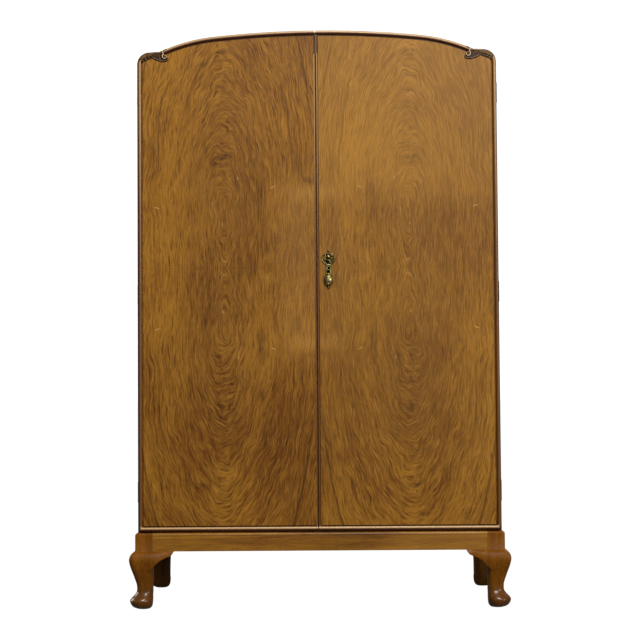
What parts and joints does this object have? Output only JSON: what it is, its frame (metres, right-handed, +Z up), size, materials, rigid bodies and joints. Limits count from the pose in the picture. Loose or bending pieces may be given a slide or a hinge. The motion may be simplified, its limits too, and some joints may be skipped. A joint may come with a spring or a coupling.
{
  "type": "armoire",
  "caption": "Free-standing wooden armoire with an arched top, a pair of veneered doors with a beaded edge, a drop handle and a low frame on cabriole legs.",
  "frame": {"origin": "on the floor, at the centre of the footprint", "axes": "+Z up, the doors face -Y, +X to the right as seen from the front"},
  "size_m": [1.2088, 0.5578, 1.838],
  "materials": {
    "door_veneer": "figured walnut veneer, four-way matched, satin French polish, worn golden brown",
    "bead_walnut": "solid walnut mouldings and carving, darker in the quirks, polished on the crests",
    "base_walnut": "solid walnut and straight-grained veneer, satin polish, darker at the feet",
    "case_walnut": "straight-grained walnut veneer, satin polish",
    "inside_wood": "plain hardwood, thin satin finish",
    "back_ply": "thin plywood, unpolished",
    "aged_brass": "dull brass",
    "handle_brass": "cast brass with a dark patina in the hollows and bright worn high spots",
    "steel": "plain steel, slightly tarnished",
    "mirror_glass": "silvered glass with a bevelled edge"
  },
  "bodies": {
    "carcase": {"left_side": "case_walnut", "right_side": "case_walnut", "floor_board": "inside_wood", "centre_division": "inside_wood", "top_panel": "case_walnut", "left_shoulder_block": "case_walnut", "right_shoulder_block": "case_walnut", "front_top_rail": "inside_wood", "rear_top_rail": "inside_wood", "left_back_panel": "back_ply", "right_back_panel": "back_ply", "back_screws": "steel", "hat_shelf": "inside_wood", "hanging_rail": "aged_brass", "rail_sockets": "aged_brass", "shelf_1": "inside_wood", "shelf_2": "inside_wood", "shelf_3": "inside_wood", "shelf_4": "inside_wood", "shelf_cleats": "inside_wood", "front_base_rail": "base_walnut", "rear_base_rail": "base_walnut", "left_base_rail": "base_walnut", "right_base_rail": "base_walnut", "base_bearer": "inside_wood", "base_corner_blocks": "inside_wood", "front_left_leg": "base_walnut", "front_right_leg": "base_walnut", "rear_left_leg": "base_walnut", "rear_right_leg": "base_walnut", "knee_brackets": "base_walnut", "left_frame_leaves": "aged_brass", "right_frame_leaves": "aged_brass", "left_hinge_pins": "aged_brass", "right_hinge_pins": "aged_brass", "frame_screws": "aged_brass", "lock_keep": "aged_brass"},
    "left_door": {"left_door_panel": "door_veneer", "left_door_beads": "bead_walnut", "left_scroll": "bead_walnut", "left_door_leaves": "aged_brass", "left_door_screws": "aged_brass", "door_mirror": "mirror_glass", "mirror_clips": "aged_brass", "top_bolt_plate": "aged_brass", "bottom_bolt_plate": "aged_brass"},
    "right_door": {"right_door_panel": "door_veneer", "right_door_beads": "bead_walnut", "meeting_bead": "bead_walnut", "right_scroll": "bead_walnut", "right_door_leaves": "aged_brass", "right_door_screws": "aged_brass", "tie_rail": "aged_brass", "lock_case": "aged_brass", "handle_plate": "handle_brass", "handle_pin": "handle_brass"},
    "top_bolt": {"top_bolt": "aged_brass"},
    "bottom_bolt": {"bottom_bolt": "aged_brass"},
    "lock_bolt": {"lock_bolt": "steel"},
    "handle_drop": {"handle_drop": "handle_brass"}
  },
  "joints": [
    {"name": "left_door_hinge", "type": "hinge", "parent": "carcase", "child": "left_door", "pos_m": [-0.5752, -0.22875, 0.997], "axis": [0, 0, -1], "range_deg": [0, 165]},
    {"name": "right_door_hinge", "type": "hinge", "parent": "carcase", "child": "right_door", "pos_m": [0.5752, -0.22875, 0.997], "axis": [0, 0, 1], "range_deg": [0, 165]},
    {"name": "handle_swing", "type": "hinge", "parent": "right_door", "child": "handle_drop", "pos_m": [0.034, -0.2547, 1.084], "axis": [-1, 0, 0], "range_deg": [0, 70]},
    {"name": "lock_bolt_slide", "type": "slide", "parent": "right_door", "child": "lock_bolt", "axis": [-1, 0, 0], "range_m": [0, 0.009]},
    {"name": "top_bolt_slide", "type": "slide", "parent": "left_door", "child": "top_bolt", "axis": [0, 0, 1], "range_m": [0, 0.012]},
    {"name": "bottom_bolt_slide", "type": "slide", "parent": "left_door", "child": "bottom_bolt", "axis": [0, 0, -1], "range_m": [0, 0.012]}
  ]
}
